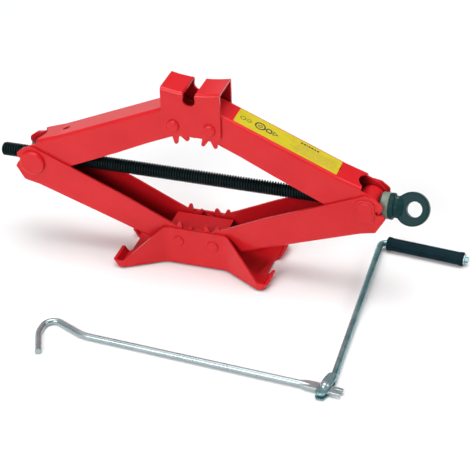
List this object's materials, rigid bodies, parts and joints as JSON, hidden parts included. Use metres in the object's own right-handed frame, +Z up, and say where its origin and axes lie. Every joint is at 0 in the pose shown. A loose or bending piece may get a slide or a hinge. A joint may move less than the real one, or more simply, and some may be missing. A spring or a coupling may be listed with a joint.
{
  "type": "scissor car jack",
  "caption": "Red folding scissor jack with a toothed base, slotted saddle, long lifting screw with an eye, and a loose folding crank with a hook and a spinning grip.",
  "frame": {"origin": "on the ground, at the middle of the base plate's foot", "axes": "+X along the lifting screw towards the eye that the crank hooks into, +Z up, +Y across the jack away from the crank's long rod"},
  "size_m": [0.4683, 0.2638, 0.1986],
  "materials": {
    "red_paint": "gloss powder coat",
    "black_steel": "black oxide, oiled",
    "zinc_steel": "bright zinc plated",
    "bush": "satin",
    "grip_plastic": "satin",
    "label": "printed film"
  },
  "bodies": {
    "base": {"base_plate": "red_paint", "base_bridge": "red_paint", "base_pin_left": "red_paint", "base_pin_right": "red_paint"},
    "lower_left": {"lower_left_arm": "red_paint"},
    "lower_right": {"lower_right_arm": "red_paint"},
    "upper_left": {"upper_left_arm": "red_paint"},
    "upper_right": {"upper_right_arm": "red_paint", "arm_label": "label"},
    "nut": {"trunnion_nut": "black_steel", "trunnion_nut_heads": "red_paint"},
    "block": {"trunnion_block": "red_paint", "trunnion_block_heads": "red_paint", "thrust_washer": "black_steel", "thrust_bush": "bush"},
    "saddle_head": {"saddle": "red_paint", "saddle_pin_left": "red_paint", "saddle_pin_right": "red_paint"},
    "screw": {"lift_screw": "black_steel", "screw_eye": "black_steel", "eye_pin": "zinc_steel", "stop_washer": "zinc_steel"},
    "crank_rod": {"hook_rod": "zinc_steel", "crank_rivet": "zinc_steel"},
    "crank_reach": {"crank_arm": "zinc_steel", "grip_push_nut": "zinc_steel"},
    "grip": {"grip_sleeve": "grip_plastic"}
  },
  "joints": [
    {"name": "lift", "type": "hinge", "parent": "base", "child": "lower_left", "pos_m": [-0.018, 0, 0.0286], "axis": [0, 1, 0], "range_deg": [-16, 48]},
    {"name": "lower_right_pivot", "type": "hinge", "parent": "base", "child": "lower_right", "pos_m": [0.018, 0, 0.0286], "axis": [0, 1, 0], "range_deg": [-48, 16]},
    {"name": "upper_left_pivot", "type": "hinge", "parent": "lower_left", "child": "upper_left", "pos_m": [-0.16954, 0, 0.09387], "axis": [0, 1, 0], "range_deg": [-96, 32]},
    {"name": "nut_pivot", "type": "hinge", "parent": "lower_left", "child": "nut", "pos_m": [-0.16954, 0, 0.09387], "axis": [0, 1, 0], "range_deg": [-48, 16]},
    {"name": "saddle_pivot", "type": "hinge", "parent": "upper_left", "child": "saddle_head", "pos_m": [-0.018, 0, 0.15913], "axis": [0, 1, 0], "range_deg": [-16, 48]},
    {"name": "upper_right_pivot", "type": "hinge", "parent": "lower_right", "child": "upper_right", "pos_m": [0.16954, 0, 0.09387], "axis": [0, 1, 0], "range_deg": [-32, 96]},
    {"name": "block_pivot", "type": "hinge", "parent": "lower_right", "child": "block", "pos_m": [0.16954, 0, 0.09387], "axis": [0, 1, 0], "range_deg": [-16, 48]},
    {"name": "screw_spin", "type": "hinge", "parent": "block", "child": "screw", "pos_m": [0.16954, 0, 0.09387], "axis": [1, 0, 0], "continuous": true},
    {"name": "crank_draw", "type": "slide", "parent": "base", "child": "crank_rod", "axis": [0, -1, 0], "range_m": [0, 0.3]},
    {"name": "crank_fold", "type": "hinge", "parent": "crank_rod", "child": "crank_reach", "pos_m": [0.1729, -0.1717, 0.004], "axis": [0, 0, 1], "range_deg": [-38, 18]},
    {"name": "grip_spin", "type": "hinge", "parent": "crank_reach", "child": "grip", "pos_m": [0.1755, 0.0631, 0.007], "axis": [0.9958, -0.092, 0], "continuous": true}
  ],
  "couplings": [
    {"joint": "lower_right_pivot", "follows": "lift", "ratio": -1},
    {"joint": "upper_left_pivot", "follows": "lift", "ratio": -2},
    {"joint": "nut_pivot", "follows": "lift", "ratio": -1},
    {"joint": "saddle_pivot", "follows": "lift", "ratio": 1},
    {"joint": "upper_right_pivot", "follows": "lift", "ratio": 2},
    {"joint": "block_pivot", "follows": "lift", "ratio": 1}
  ]
}
